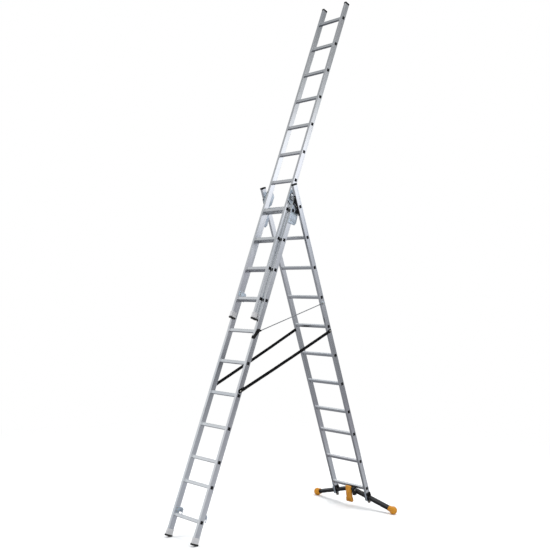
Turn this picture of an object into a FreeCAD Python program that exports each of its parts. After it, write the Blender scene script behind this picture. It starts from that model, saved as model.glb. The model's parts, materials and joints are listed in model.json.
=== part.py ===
import FreeCAD, Part
import math
import os
from FreeCAD import Placement, Rotation, Vector

os.makedirs("parts", exist_ok=True)

# Three-section combination ladder standing as an A-frame, with its third section pushed up
# past the top. Millimetres and degrees. +X runs along the rungs, +Y to the rear leg, +Z up.
# The origin is on the floor, under the centre of the whole ladder.

# ---- driving dimensions ----
lean = 20.0                     # each leg's angle from upright
crossing_height = 2842.0        # where the mid planes of the two legs cross
rung_pitch = 280.0
section_gap = 40.0              # mid plane to mid plane, between nested sections
front_width = 373.0             # over the stiles
rear_width = 433.0
upper_width = 312.0

stile_thick = 24.0
stile_depth = 50.0
stile_wall = 2.0
stile_corner = 3.0
groove_width = 28.0             # shallow groove along the stile's outer face
groove_depth = 0.8

rung_size = 27.0
rung_wall = 1.5
rung_corner = 4.0
rib_height = 0.8                # anti-slip ribs on the rung
rib_width = 1.6
rib_spacing = 4.0
half_plug = 13.5                # half the width of a rung plug's head

# Distances down a leg, from the crossing of the two mid planes.
front_top = -25.0
front_first_rung = 110.0
front_short_gap = 205.0         # the one short gap, under the ninth rung
rear_top = -136.0
rear_first_rung = 70.0
rear_short_gap = 226.0          # under the eighth rung
rear_bottom = 2862.0
upper_top = -2013.0
upper_bottom = 1120.0
upper_last_rung = 950.0         # level with the front section's fourth rung

fold_gap = 76.0                 # between the legs' mid planes when folded flat
pivot_radius = 6.0
running_gap = 0.05              # radial play of a pin in its hole
free_gap = 0.6                  # between pieces that pass each other

bar_bend_radius = 350.0         # centre line of the bend in the crossbar's middle
bar_slope = 15.7                # each straight arm of the crossbar falls away from its middle
bar_top = 2862.0                # down the leg to the middle of the bar's centre line
bar_height = 30.0
bar_depth = 40.0
bar_wall = 2.5
ball_radius = 36.0
ball_reach = 490.0

strap_width = 28.0
strap_thick = 2.0
strap_front_down = 1750.0
strap_rear_down = 1233.0
rod_radius = 4.0
pedal_tilt = -9.0               # the pedal's lever hangs forward of the rear leg
rod_rear_down = 963.0
rod_rear_depth = -14.0
rod_front_down = 1226.0

half_stile = stile_depth / 2
half_rung = rung_size / 2
lean_sin = math.sin(math.radians(lean))
lean_cos = math.cos(math.radians(lean))
shoe_height = 46.0
shoe_floor = 4.0
sole_thick = 14.0
sole_half_depth = 31.0
sole_facet = 12.0               # part of the sole's depth that is worn level and meets the floor
sole_down = (crossing_height - (sole_half_depth - sole_facet) * lean_sin) / lean_cos
front_reach = sole_half_depth * lean_cos + sole_down * lean_sin
rear_reach = (crossing_height - ball_radius) * lean_sin / lean_cos + ball_radius
crossing_y = (front_reach - rear_reach) / 2
ball_down = (crossing_height - ball_radius) / lean_cos
pivot_drop = fold_gap / 2 / lean_sin
pivot_down = pivot_drop * lean_cos

# ---- frames: each section is built upright, z = 0 at the crossing and +Y to the rear ----
crossing = Vector(0, crossing_y, crossing_height)
x_axis = Vector(1, 0, 0)
y_axis = Vector(0, 1, 0)
z_axis = Vector(0, 0, 1)
front_leg = Placement(crossing, Rotation(x_axis, -lean))
rear_leg = Placement(crossing, Rotation(x_axis, lean))
nodes = {}


def keep(name, frame, *solids):
    placed = []
    for solid in solids:
        piece = solid.copy()
        piece.Placement = frame.multiply(piece.Placement)
        placed.append(piece)
    nodes[name] = placed


def keep_pair(name, frame, right_solid):
    keep(name + "_right", frame, right_solid)
    keep(name + "_left", frame, mirrored(right_solid))


def mirrored(solid):
    return solid.mirror(Vector(0, 0, 0), x_axis)


def both_sides(solids):
    return list(solids) + [mirrored(solid) for solid in solids]


def block(x, y, z):
    return Part.makeBox(x[1] - x[0], y[1] - y[0], z[1] - z[0], Vector(x[0], y[0], z[0]))


def along(solid, axis):
    """The straight edges of a solid that run along an axis."""
    found = []
    for edge in solid.Edges:
        if isinstance(edge.Curve, Part.Line) and abs(edge.tangentAt(edge.FirstParameter).dot(axis)) > 0.999:
            found.append(edge)
    return found


def rounded(x, y, z, radius, axis):
    solid = block(x, y, z)
    return solid.makeFillet(radius, along(solid, axis))


def cylinder(start, end, radius):
    return Part.makeCylinder(radius, (end - start).Length, start, end - start)


def plate(outline, x, corner):
    """A flat plate across X, from its outline of (y, z) points, with rounded corners."""
    points = [Vector(x[0], y, z) for y, z in outline]
    solid = Part.Face(Part.makePolygon(points + points[:1])).extrude(Vector(x[1] - x[0], 0, 0))
    return solid.makeFillet(corner, along(solid, x_axis))


def bolt(x_tip, x_seat, y, z, shank, head, head_height):
    """A bolt along X from its tip to its seat, with a round head past the seat."""
    way = 1 if x_seat > x_tip else -1
    body = cylinder(Vector(x_tip, y, z), Vector(x_seat, y, z), shank)
    cap = cylinder(Vector(x_seat, y, z), Vector(x_seat + way * head_height, y, z), head)
    rim = [edge for edge in cap.Edges if abs(edge.CenterOfMass.x - x_seat - way * head_height) < 0.01]
    return body.fuse(cap.makeFillet(head_height * 0.4, rim))


# ---- stiles, rungs and their end plugs ----
def rung_downs(first, count_before_gap, short_gap):
    downs = [first + rung_pitch * k for k in range(count_before_gap)]
    if count_before_gap < 11:
        downs.append(downs[-1] + short_gap)
    while len(downs) < 11:
        downs.append(downs[-1] + rung_pitch)
    return downs


front_downs = rung_downs(front_first_rung, 9, front_short_gap)
rear_downs = rung_downs(rear_first_rung, 8, rear_short_gap)
upper_downs = rung_downs(upper_last_rung - 10 * rung_pitch, 11, 0)


def stile(width, y_mid, top, bottom, downs):
    """The right stile: a box extrusion with a groove outside and a hole for each rung."""
    x_out = width / 2
    x_in = x_out - stile_thick
    z = (-bottom, -top)
    y = (y_mid - half_stile, y_mid + half_stile)
    outer = rounded((x_in, x_out), y, z, stile_corner, z_axis)
    hollow = rounded((x_in + stile_wall, x_out - stile_wall - groove_depth / 2),
                     (y[0] + stile_wall, y[1] - stile_wall), z, stile_corner - stile_wall / 2, z_axis)
    groove = block((x_out - groove_depth, x_out + 1), (y_mid - groove_width / 2, y_mid + groove_width / 2), z)
    holes = [rounded((x_in - 1, x_out + 1), (y_mid - half_rung, y_mid + half_rung),
                     (-down - half_rung, -down + half_rung), rung_corner, x_axis) for down in downs]
    return outer.cut([hollow, groove] + holes)


def rung(width, y_mid, down):
    """A ribbed square tube that ends flush in the grooves of both stiles."""
    x_end = width / 2 - groove_depth
    x_rib = width / 2 - stile_thick - 3
    inner = half_rung - rung_wall
    tube = rounded((-x_end, x_end), (-half_rung, half_rung), (-half_rung, half_rung), rung_corner, x_axis)
    bore = rounded((-x_end, x_end), (-inner, inner), (-inner, inner), rung_corner - rung_wall, x_axis)
    ribs = []
    for k in range(-2, 3):
        y = (k * rib_spacing - rib_width / 2, k * rib_spacing + rib_width / 2)
        ribs.append(block((-x_rib, x_rib), y, (half_rung - 0.4, half_rung + rib_height)))
        ribs.append(block((-x_rib, x_rib), y, (-half_rung - rib_height, -half_rung + 0.4)))
    solid = tube.fuse(ribs).removeSplitter().cut(bore)
    solid.translate(Vector(0, y_mid, -down))
    return solid


def rung_plug(width, y_mid, down):
    """The right-hand end plug: a stem in the rung and a thin square head in the groove."""
    stem = half_rung - rung_wall
    x_face = width / 2 - groove_depth
    head = rounded((x_face, x_face + 2), (-half_plug, half_plug), (-half_plug, half_plug), 3.5, x_axis)
    body = rounded((x_face - 12, x_face), (-stem, stem), (-stem, stem), rung_corner - rung_wall, x_axis)
    solid = head.fuse(body)
    solid.translate(Vector(0, y_mid, -down))
    return solid


def section(name, frame, width, y_mid, top, bottom, downs, fasteners):
    right = stile(width, y_mid, top, bottom, downs)
    keep_pair(name + "_stile", frame, right.cut(fasteners) if fasteners else right)
    keep(name + "_rungs", frame, *[rung(width, y_mid, down) for down in downs])
    keep(name + "_rung_plugs", frame, *both_sides([rung_plug(width, y_mid, down) for down in downs]))


# ---- feet and caps ----
def sleeve(width, y_mid, z, y_grow, wall, floor_thick, at_top):
    """A moulded sleeve round a stile's end, closed by a floor at its outer end."""
    x = (width / 2 - stile_thick - wall, width / 2 + wall)
    y = (y_mid - half_stile - y_grow[0], y_mid + half_stile + y_grow[1])
    body = rounded(x, y, z, stile_corner + 1, z_axis)
    low, high = z
    if at_top:
        high -= floor_thick
    else:
        low += floor_thick
    bore = rounded((width / 2 - stile_thick, width / 2), (y_mid - half_stile, y_mid + half_stile),
                   (low, high), stile_corner, z_axis)
    return body.cut(bore)


def front_feet():
    """Grey shoes, and thin black soles whose rear edge is worn level where it meets the floor."""
    shoe_end = -sole_down + sole_thick
    shoe = sleeve(front_width, 0, (shoe_end, shoe_end + shoe_height), (4, 4), 2.0, shoe_floor, False)
    keep_pair("front_shoe", front_leg, shoe)
    x = (front_width / 2 - stile_thick - 4, front_width / 2 + 4)
    sole = rounded(x, (-sole_half_depth, sole_half_depth), (-sole_down, shoe_end), 5, z_axis)
    sole.Placement = front_leg
    below_floor = block((-400, 400), (-1500, 0), (-400, 0))
    nodes["front_soles"] = both_sides([sole.cut(below_floor)])


def upper_feet():
    """The third section's shoes stay clear of the front section's rungs behind them."""
    shoe_end = -upper_bottom - 4
    y_mid = -section_gap
    shoe = sleeve(upper_width, y_mid, (shoe_end, shoe_end + shoe_height), (5, 0), 1.8, shoe_floor, False)
    keep_pair("upper_shoe", front_leg, shoe)
    x = (upper_width / 2 - stile_thick - 2.2, upper_width / 2 + 2.2)
    y = (y_mid - half_stile - 7, y_mid + half_stile)
    sole = rounded(x, y, (shoe_end - sole_thick, shoe_end), 4, z_axis)
    keep("upper_soles", front_leg, *both_sides([sole]))


def top_caps():
    rear = sleeve(rear_width, 0, (-rear_top - 12, -rear_top + 3), (1.5, 1.5), 1.5, 3.0, True)
    keep("rear_caps", rear_leg, *both_sides([rear]))
    upper = sleeve(upper_width, -section_gap, (-upper_top - 14, -upper_top + 3), (1.5, 0), 1.5, 3.0, True)
    keep("upper_caps", front_leg, *both_sides([upper]))


# ---- hooks that hold one section on another's rung ----
def hook(x, y_root, y_rung, y_far, z_top, z_slot, z_tip, z_root):
    """A plate with a slot, open downward, that drops over a rung behind its section."""
    slot = half_rung + 1.0
    shoulder = 12.0
    outline = [(y_root, z_top), (y_far - shoulder, z_top), (y_far, z_top - shoulder),
               (y_far, z_tip + shoulder), (y_far - shoulder / 2, z_tip), (y_rung + slot, z_tip),
               (y_rung + slot, z_slot), (y_rung - slot, z_slot), (y_rung - slot, z_root),
               (y_root, z_root)]
    return plate(outline, x, 2.5)


def front_hooks():
    """Hooks by the front section's lowest rung, for use as a plain extension ladder."""
    x_in = front_width / 2 - stile_thick
    bolts = []
    for z in (-2782.0, -2807.0):
        bolts.append(bolt(x_in + stile_wall, x_in - 3.5, -8, z, 3.0, 6.0, 3.5))
    y_far = fold_gap - half_rung - 2.0
    plate_solid = hook((x_in - 3.5, x_in), -20, section_gap, y_far, -2770, -2806, -2842, -2819)
    keep_pair("front_hook", front_leg, plate_solid.cut(bolts))
    keep("front_hook_bolts", front_leg, *both_sides(bolts))
    return bolts


def upper_hooks():
    """The third section's hooks hang on one of the front section's rungs."""
    x_in = upper_width / 2 - stile_thick
    y_mid = -section_gap
    z_rung_top = -upper_last_rung + half_rung + rib_height
    bolts = []
    for z in (-896.0, -916.0):
        bolts.append(bolt(x_in + stile_wall, x_in - 3, y_mid, z, 3.0, 6.0, 3.5))
    plate_solid = hook((x_in - 3, x_in), y_mid - 20, 0, half_rung + 12, z_rung_top + 50,
                       z_rung_top + 0.4, z_rung_top - 30, z_rung_top + 8)
    keep_pair("upper_hook", front_leg, plate_solid.cut(bolts))
    keep("upper_hook_bolts", front_leg, *both_sides(bolts))
    return bolts


# ---- guides at the front section's top, which keep the third section on it ----
def top_guides():
    """Plates beside the third section, each with an oval slot and a raised rim in front."""
    x_in = front_width / 2 - stile_thick
    x = (x_in - 3, x_in)
    y_front = -section_gap - half_stile
    outline = [(34, 66), (34, -18), (16, -36), (16, -60), (-22, -60), (y_front - 4, -34),
               (y_front - 4, 62), (-30, 92), (10, 92)]
    bolts = [bolt(x_in + stile_wall, x[0], 4, z, 2.0, 5.0, 2.0) for z in (8.0, -38.0)]
    oval = ((-56, -14), (-20, 48))
    rim = 4.0
    slot = rounded((x[0] - 1, x[1] + 9), (oval[0][0] + rim, oval[0][1] - rim),
                   (oval[1][0] + rim, oval[1][1] - rim), 16, x_axis)
    guide = plate(outline, x, 6).cut(bolts + [slot])
    keep_pair("guide_plate", front_leg, guide)
    keep("guide_bolts", front_leg, *both_sides(bolts))
    ring = rounded((x[1], x[1] + 3.5), oval[0], oval[1], 20, x_axis)
    behind = block((x[1] - 1, x[1] + 9), (-half_stile - 1.5, 0), (-90, 90))
    keep_pair("guide_loop", front_leg, ring.cut([slot, behind]))
    return bolts


# ---- main hinge ----
def main_hinge():
    """Front plates, rear blocks and the pivot bolts that join the two legs."""
    x_out = front_width / 2
    pivot_y = fold_gap / 2
    pivot_z = -pivot_down
    x_plate = (x_out, x_out + 3.5)
    x_block = rear_width / 2 - stile_thick
    x_head = x_block + 21.5
    pivot = cylinder(Vector(x_out - 1, pivot_y, pivot_z), Vector(x_head, pivot_y, pivot_z), pivot_radius)
    head = cylinder(Vector(x_head, pivot_y, pivot_z), Vector(x_head + 4.5, pivot_y, pivot_z), 9.5)
    nut = cylinder(Vector(x_out - 9, pivot_y, pivot_z), Vector(x_out - 0.5, pivot_y, pivot_z), 10.0)
    pin = pivot.fuse([head, nut]).removeSplitter()
    keep("pivot_bolts", front_leg, *both_sides([pin]))

    bolts = [bolt(x_out - stile_wall - 1, x_plate[1], 6, z, 3.0, 5.0, 1.6) for z in (-78.0, -200.0)]
    outline = [(-20, -60), (20, -66), (pivot_y + 4, pivot_z + 17), (pivot_y + 19, pivot_z + 2),
               (68, -140), (74, -200), (60, -226), (-20, -232)]
    half_window = half_plug + 0.7
    plug_window = rounded((x_out - 1, x_out + 5), (-half_window, half_window),
                          (-front_first_rung - half_window, -front_first_rung + half_window), 3.5, x_axis)
    front_plate = plate(outline, x_plate, 5).cut(bolts + [pin, plug_window])
    keep_pair("hinge_plate", front_leg, front_plate)
    keep("hinge_plate_bolts", front_leg, *both_sides(bolts))

    y_face = -half_stile
    x_lug = (x_block + 0.4, x_block + 21)
    bolts_rear = []
    for z in (20.0, -60.0, -130.0):
        seat = Vector(x_block + 12, y_face - 6, z)
        shank = cylinder(Vector(x_block + 12, y_face + stile_wall, z), seat, 3.0)
        button = cylinder(seat, seat - Vector(0, 3, 0), 5.0)
        bolts_rear.append(shank.fuse(button).removeSplitter())
    strip = rounded(x_lug, (y_face - 6, y_face), (-142, 36), 2.5, y_axis)
    lug = cylinder(Vector(x_lug[0], -pivot_y, pivot_z), Vector(x_lug[1], -pivot_y, pivot_z), 13.0)
    web = block(x_lug, (-pivot_y, y_face), (pivot_z - 13, pivot_z + 13))
    hole = cylinder(Vector(x_lug[0] - 1, -pivot_y, pivot_z), Vector(x_lug[1] + 1, -pivot_y, pivot_z),
                    pivot_radius + running_gap)
    rear_block = strip.fuse([lug, web]).removeSplitter().cut([hole] + bolts_rear)
    keep_pair("hinge_block", rear_leg, rear_block)
    keep("hinge_block_bolts", rear_leg, *both_sides(bolts_rear))
    return bolts, bolts_rear


# ---- spreader straps and stay rod ----
def leg_point(frame, x, y, down):
    return frame.multVec(Vector(x, y, -down))


def spreader_straps():
    x_front = front_width / 2
    x_rear = rear_width / 2
    front_bolt = bolt(x_front - stile_wall - 1, x_front + 5.5, 0, -strap_front_down, 3.0, 7.0, 3.5)
    rear_bolt = bolt(x_rear - stile_wall - 1, x_rear + 5.5, 0, -strap_rear_down, 3.0, 7.0, 3.5)
    keep("strap_front_bolts", front_leg, *both_sides([front_bolt]))
    keep("strap_rear_bolts", rear_leg, *both_sides([rear_bolt]))
    start = leg_point(front_leg, x_front + 3.4, 0, strap_front_down)
    end = leg_point(rear_leg, x_rear + 3.4, 0, strap_rear_down)
    run = end - start
    tail = 16.0
    half_thick = strap_thick / 2
    half_wide = strap_width / 2
    strap = block((-half_thick, half_thick), (-tail, run.Length + tail), (-half_wide, half_wide))
    for y in (0, run.Length):
        strap = strap.cut(cylinder(Vector(-5, y, 0), Vector(5, y, 0), 3.4))
    level = Rotation(z_axis, math.degrees(-math.atan2(run.x, math.hypot(run.y, run.z))))
    rise = Rotation(x_axis, math.degrees(math.atan2(run.z, run.y)))
    strap.Placement = Placement(start, rise.multiply(level))
    nodes["spreader_strap_right"] = [strap]
    nodes["spreader_strap_left"] = [mirrored(strap)]
    print("strap length between bolts", round(run.Length, 1))
    return [front_bolt], [rear_bolt]


def stay_rod():
    """One thin rod on the right, from the rear stile to a hook round the front stile."""
    x_rear = rear_width / 2
    x_front = front_width / 2
    bolt_solid = bolt(x_rear - stile_wall - 1, x_rear + 11.5, rod_rear_depth, -rod_rear_down, 3.0, 7.0, 4.0)
    keep("rod_pivot_bolt", rear_leg, bolt_solid)
    bracket = rounded((x_rear, x_rear + 2.5), (rod_rear_depth - 10, rod_rear_depth + 24),
                      (-rod_rear_down - 12, -rod_rear_down + 12), 4, x_axis)
    keep("rod_bracket", rear_leg, bracket.cut(bolt_solid))

    pivot = leg_point(rear_leg, x_rear + 7, rod_rear_depth, rod_rear_down)
    tip = leg_point(front_leg, x_front + 10, 4, rod_front_down)
    eye = cylinder(pivot - Vector(3.5, 0, 0), pivot + Vector(3.5, 0, 0), 10.0)
    hole = cylinder(pivot - Vector(5, 0, 0), pivot + Vector(5, 0, 0), 3.0 + running_gap)
    along_rod = (tip - pivot).normalize()
    rod = cylinder(pivot + along_rod * 8, tip, rod_radius)
    nodes["stay_rod"] = [rod.fuse(eye).removeSplitter().cut(hole)]

    x_plate = (x_front + 1.6, x_front + 5.6)
    y_front = -half_stile
    outline = [(22, -1212), (16, -1200), (-4, -1206), (y_front - 9, -1272), (y_front - 9, -1300),
               (y_front + 10, -1300), (8, -1250)]
    arm = plate(outline, x_plate, 4)
    lip = block((x_front - 17, x_front + 5), (y_front - 8, y_front - 1.5), (-1298, -1274))
    socket = cylinder(leg_local(tip - along_rod * 26), leg_local(tip + along_rod * 5), rod_radius + 3.5)
    bore = cylinder(leg_local(tip - along_rod * 30), leg_local(tip), rod_radius)
    keep("rod_hook", front_leg, arm.fuse([lip, socket]).removeSplitter().cut(bore))
    return [bolt_solid], pivot


def leg_local(point):
    return front_leg.inverse().multVec(point)


# ---- levelling crossbar ----
def bar_line():
    """The crossbar's centre line: a bend in the middle and a straight arm to each ball."""
    centre_z = -bar_top - bar_bend_radius
    slope = math.radians(bar_slope)
    x_bend = bar_bend_radius * math.sin(slope)
    z_bend = centre_z + bar_bend_radius * math.cos(slope)
    z_end = z_bend - (ball_reach - x_bend) * math.tan(slope)
    bend = Part.Arc(Vector(-x_bend, 0, z_bend), Vector(0, 0, -bar_top), Vector(x_bend, 0, z_bend))
    left = Part.LineSegment(Vector(-ball_reach, 0, z_end), Vector(-x_bend, 0, z_bend))
    right = Part.LineSegment(Vector(x_bend, 0, z_bend), Vector(ball_reach, 0, z_end))
    return Part.Wire([left.toShape(), bend.toShape(), right.toShape()])


def bar_sweep(half_height, half_depth, corner):
    """A rectangular bar of that half section along the crossbar's centre line."""
    line = bar_line()
    start = line.Edges[0].valueAt(line.Edges[0].FirstParameter)
    way = line.Edges[0].tangentAt(line.Edges[0].FirstParameter)
    rise = y_axis.cross(way) * -1
    corners = []
    for depth, height in ((-1, -1), (1, -1), (1, 1), (-1, 1)):
        corners.append(start + y_axis * (depth * half_depth) + rise * (height * half_height))
    profile = Part.Wire(Part.makePolygon(corners + corners[:1]).Edges)
    bar = line.makePipeShell([profile], True, True)
    if corner:
        long_edges = [edge for edge in bar.Edges if edge.Length > 60]
        bar = bar.makeFillet(corner, long_edges)
    return bar


def crossbar():
    outer = bar_sweep(bar_height / 2, bar_depth / 2, 4.0)
    inner = bar_sweep(bar_height / 2 - bar_wall, bar_depth / 2 - bar_wall, 0)
    keep("crossbar_tube", rear_leg, outer.cut(inner))
    centre = Vector(ball_reach, 0, -ball_down)
    ball = Part.makeSphere(ball_radius, centre)
    keep_pair("ball_foot", rear_leg, ball.cut(outer))


def bar_guides():
    """At each rear stile's end: a plastic fork astride the bar, in a stirrup with a stop below."""
    x = (rear_width / 2 - stile_thick, rear_width / 2)
    half_slot = bar_depth / 2 + free_gap
    fork_top = -rear_bottom - 13.0
    fork_end = fork_top - 60.0
    fork = block((x[0] - 10, x[1] + 10), (-half_stile, half_stile), (fork_end, -rear_bottom))
    fork = fork.makeFillet(3, along(fork, z_axis))
    slot = block((x[0] - 20, x[1] + 20), (-half_slot, half_slot), (fork_end - 1, fork_top))
    keep_pair("bar_guide", rear_leg, fork.cut(slot))
    thick = 3.0
    z_bolt = -2836.0
    middle = rear_width / 2 - stile_thick / 2
    bolts = []
    for y_side in (-1, 1):
        seat = Vector(middle, y_side * (half_stile + thick), z_bolt)
        inside = Vector(seat.x, y_side * (half_stile - stile_wall), z_bolt)
        head = cylinder(seat, seat + Vector(0, y_side * 3.5, 0), 6.0)
        bolts.append(cylinder(inside, seat, 3.0).fuse(head).removeSplitter())
    stirrup = rounded((x[0] + 3, x[1] - 3), (-half_stile - thick, half_stile + thick),
                      (fork_end - thick, z_bolt + 16), 4, x_axis)
    stirrup = stirrup.cut([block((x[0] - 9, x[1] + 9), (-half_stile, half_stile), (fork_end, -2700))] + bolts)
    keep_pair("bar_stirrup", rear_leg, stirrup)
    keep("stirrup_bolts", rear_leg, *both_sides(bolts))
    stop_top = fork_end - thick
    stop_height = 27.0
    stop = Part.makeCone(13, 15, stop_height, Vector(middle, 0, stop_top), Vector(0, 0, -1))
    rim = [edge for edge in stop.Edges if abs(edge.CenterOfMass.z - stop_top + stop_height) < 0.01]
    keep("stop_feet", rear_leg, *both_sides([stop.makeFillet(6, rim)]))
    return bolts


# ---- brake pedal on the rear leg's lowest rung ----
pedal_down = 2840.0
pedal_y = -39.0
pedal_x = 22.0                  # middle of the lever, a little to the right
pedal_end = 2957.0              # down to the foot pad's lower edge, before the lever is tilted
pin_radius = 5.0


def brake_pedal():
    z_pin = -pedal_down
    back = (-26.0, -bar_depth / 2 - 1.2)
    x_lug = (pedal_x - 42, pedal_x - 36)
    x_case = (pedal_x + 38, pedal_x + 66)
    z_clamp = (-rear_downs[-1] - 12, -rear_downs[-1] + 10)
    plate_back = block((x_lug[0], x_case[1]), back, (-2884, z_clamp[1]))
    clamp = block((x_lug[0], x_case[1]), (back[1], -half_rung), z_clamp)
    case = block(x_case, (-53, back[0] + 2), (-2890, -2814))
    case = case.makeFillet(5, [edge for edge in along(case, x_axis) if edge.CenterOfMass.y < -50])
    room = block((x_case[0] + 3, x_case[1] - 3), (-50, back[0]), (-2893, -2819))
    lug = block(x_lug, (-50, back[0] + 2), (-2858, -2822))
    lug = lug.makeFillet(6, [edge for edge in along(lug, x_axis) if edge.CenterOfMass.y < -48])
    pin_hole = cylinder(Vector(x_lug[0] - 10, pedal_y, z_pin), Vector(x_case[1] + 10, pedal_y, z_pin),
                        pin_radius)
    bracket = plate_back.fuse([clamp, case.cut(room), lug]).removeSplitter()
    window = block((pedal_x - 31, pedal_x + 31), (-30, -15), (-2890, z_clamp[0] - 1.5))
    keep("pedal_bracket", rear_leg, bracket.cut([pin_hole, window]))
    shank = (x_lug[0] - 3, x_case[1] + 1)
    pin = cylinder(Vector(shank[0], pedal_y, z_pin), Vector(shank[1], pedal_y, z_pin),
                   pin_radius - running_gap)
    left_cap = cylinder(Vector(shank[0] - 3, pedal_y, z_pin), Vector(shank[0], pedal_y, z_pin), 8.0)
    right_cap = cylinder(Vector(shank[1], pedal_y, z_pin), Vector(shank[1] + 3, pedal_y, z_pin), 8.0)
    keep("pedal_pin", rear_leg, pin.fuse([left_cap, right_cap]).removeSplitter())

    x_lever = (pedal_x - 33, pedal_x + 33)
    x_pad = (pedal_x - 36, pedal_x + 36)
    knuckle = cylinder(Vector(x_lever[0], pedal_y, z_pin), Vector(x_lever[1], pedal_y, z_pin), 11.0)
    lever_top = z_pin + 37
    pad_end = -pedal_end
    pad_top = pad_end + 46
    lever = rounded(x_lever, (-60, -41), (pad_end + 20, lever_top), 6, z_axis)
    pad = rounded(x_pad, (-66, -40), (pad_end, pad_top), 10, x_axis)
    pad = pad.makeFillet(4, [edge for edge in pad.Edges
                             if min(abs(edge.CenterOfMass.x - x) for x in x_pad) < 0.01])
    hinge_line = Vector(0, pedal_y, z_pin)
    tilt = Placement(hinge_line, Rotation(x_axis, pedal_tilt))
    tilt = tilt.multiply(Placement(hinge_line * -1, Rotation()))
    lever.Placement = tilt
    pad.Placement = tilt
    nose = block((pedal_x - 20, pedal_x + 20), (-31, -22), (-2851, z_pin + 2))
    bore = cylinder(Vector(x_pad[0] - 5, pedal_y, z_pin), Vector(x_pad[1] + 5, pedal_y, z_pin),
                    pin_radius + running_gap)
    keep("brake_pedal", rear_leg, knuckle.fuse([lever, pad, nose]).removeSplitter().cut(bore))

    turns = 5
    pitch = 3.6
    coil_radius = 7.5
    helix = Part.makeHelix(pitch, pitch * turns, coil_radius)
    circle = Part.Wire(Part.makeCircle(1.2, Vector(coil_radius, 0, 0), y_axis))
    coil = Part.Wire(helix.Edges).makePipeShell([circle], True, True)
    coil.Placement = Placement(Vector(x_case[0] + 4.4, pedal_y, z_pin), Rotation(y_axis, 90))
    keep("pedal_spring", rear_leg, coil)


# ---- the whole ladder ----
front_feet()
upper_feet()
top_caps()
hook_bolts = front_hooks()
upper_bolts = upper_hooks()
guide_bolts = top_guides()
hinge_bolts, block_bolts = main_hinge()
strap_front, strap_rear = spreader_straps()
rod_bolt, rod_pivot = stay_rod()
crossbar()
stirrup_bolts = bar_guides()
brake_pedal()
section("front", front_leg, front_width, 0, front_top, sole_down - sole_thick - shoe_floor, front_downs,
        hook_bolts + guide_bolts + hinge_bolts + strap_front)
section("rear", rear_leg, rear_width, 0, rear_top, rear_bottom, rear_downs,
        block_bolts + strap_rear + stirrup_bolts + rod_bolt)
section("upper", front_leg, upper_width, -section_gap, upper_top, upper_bottom, upper_downs, upper_bolts)

for name, solids in nodes.items():
    shape = solids[0] if len(solids) == 1 else Part.makeCompound(solids)
    shape.exportStep("parts/" + name + ".step")

whole = Part.makeCompound([solid for solids in nodes.values() for solid in solids])
box = whole.optimalBoundingBox()
extents = (box.XMin, box.XMax, box.YMin, box.YMax, box.ZMin, box.ZMax)
print(len(nodes), "nodes; box", [round(value, 1) for value in extents])
pivot_at = leg_point(front_leg, 0, fold_gap / 2, pivot_down)
guide_x = rear_width / 2 - stile_thick / 2
slope_rise = math.tan(math.radians(bar_slope))
bend_x = bar_bend_radius * math.sin(math.radians(bar_slope))
bend_down = bar_top + bar_bend_radius * (1 - math.cos(math.radians(bar_slope)))
guide_down = bend_down + (guide_x - bend_x) * slope_rise
bar_centre = leg_point(rear_leg, 0, 0, guide_down + guide_x / slope_rise)
pedal_at = leg_point(rear_leg, 0, pedal_y, pedal_down)
places = {"leg pivot": pivot_at, "bar centre": bar_centre, "pedal pin": pedal_at, "rod pivot": rod_pivot}
for label, point in places.items():
    print(label, [round(value, 3) for value in point])
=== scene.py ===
import json
import math
import random

import bmesh
import bpy
from mathutils import Matrix, Vector


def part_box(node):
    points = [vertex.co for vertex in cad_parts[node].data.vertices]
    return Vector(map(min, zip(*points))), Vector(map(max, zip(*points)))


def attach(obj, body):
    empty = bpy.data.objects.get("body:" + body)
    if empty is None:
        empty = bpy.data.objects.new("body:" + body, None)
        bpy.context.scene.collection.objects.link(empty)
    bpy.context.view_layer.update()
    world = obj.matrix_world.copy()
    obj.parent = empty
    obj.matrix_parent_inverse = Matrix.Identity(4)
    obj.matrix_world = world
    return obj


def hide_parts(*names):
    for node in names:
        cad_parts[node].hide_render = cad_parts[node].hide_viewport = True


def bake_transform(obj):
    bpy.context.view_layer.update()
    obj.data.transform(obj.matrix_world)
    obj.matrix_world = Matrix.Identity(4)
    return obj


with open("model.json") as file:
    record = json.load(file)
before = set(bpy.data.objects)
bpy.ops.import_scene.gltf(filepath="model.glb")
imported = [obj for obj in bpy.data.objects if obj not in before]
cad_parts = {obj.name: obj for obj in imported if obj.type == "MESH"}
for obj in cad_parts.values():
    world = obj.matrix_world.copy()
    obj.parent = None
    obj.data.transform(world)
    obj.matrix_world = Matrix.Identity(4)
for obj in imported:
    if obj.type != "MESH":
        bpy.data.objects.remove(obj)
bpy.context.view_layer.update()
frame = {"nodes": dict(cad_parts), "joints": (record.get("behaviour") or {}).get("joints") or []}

scene = bpy.context.scene
joints = {joint["name"]: joint for joint in frame["joints"]}
print("frame loaded:", len(frame["nodes"]), "nodes")

# Each leg has its own axes: X along the rungs, Y rearwards through the stiles, Z up the leg.
ladder = {
    "foldGap": 0.076,      # between the legs' mid planes when folded
}
frontUp = Vector(joints["third_section_slide"]["axis"])
leanAngle = math.atan2(frontUp.y, frontUp.z)
pivotToCrossing = ladder["foldGap"] / 2 / math.sin(leanAngle)
crossing = Vector(joints["leg_fold"]["pos_m"]) + Vector((0, 0, pivotToCrossing))
frontLeg = Matrix.Translation(crossing) @ Matrix.Rotation(-leanAngle, 4, "X")
rearLeg = Matrix.Translation(crossing) @ Matrix.Rotation(leanAngle, 4, "X")


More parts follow.
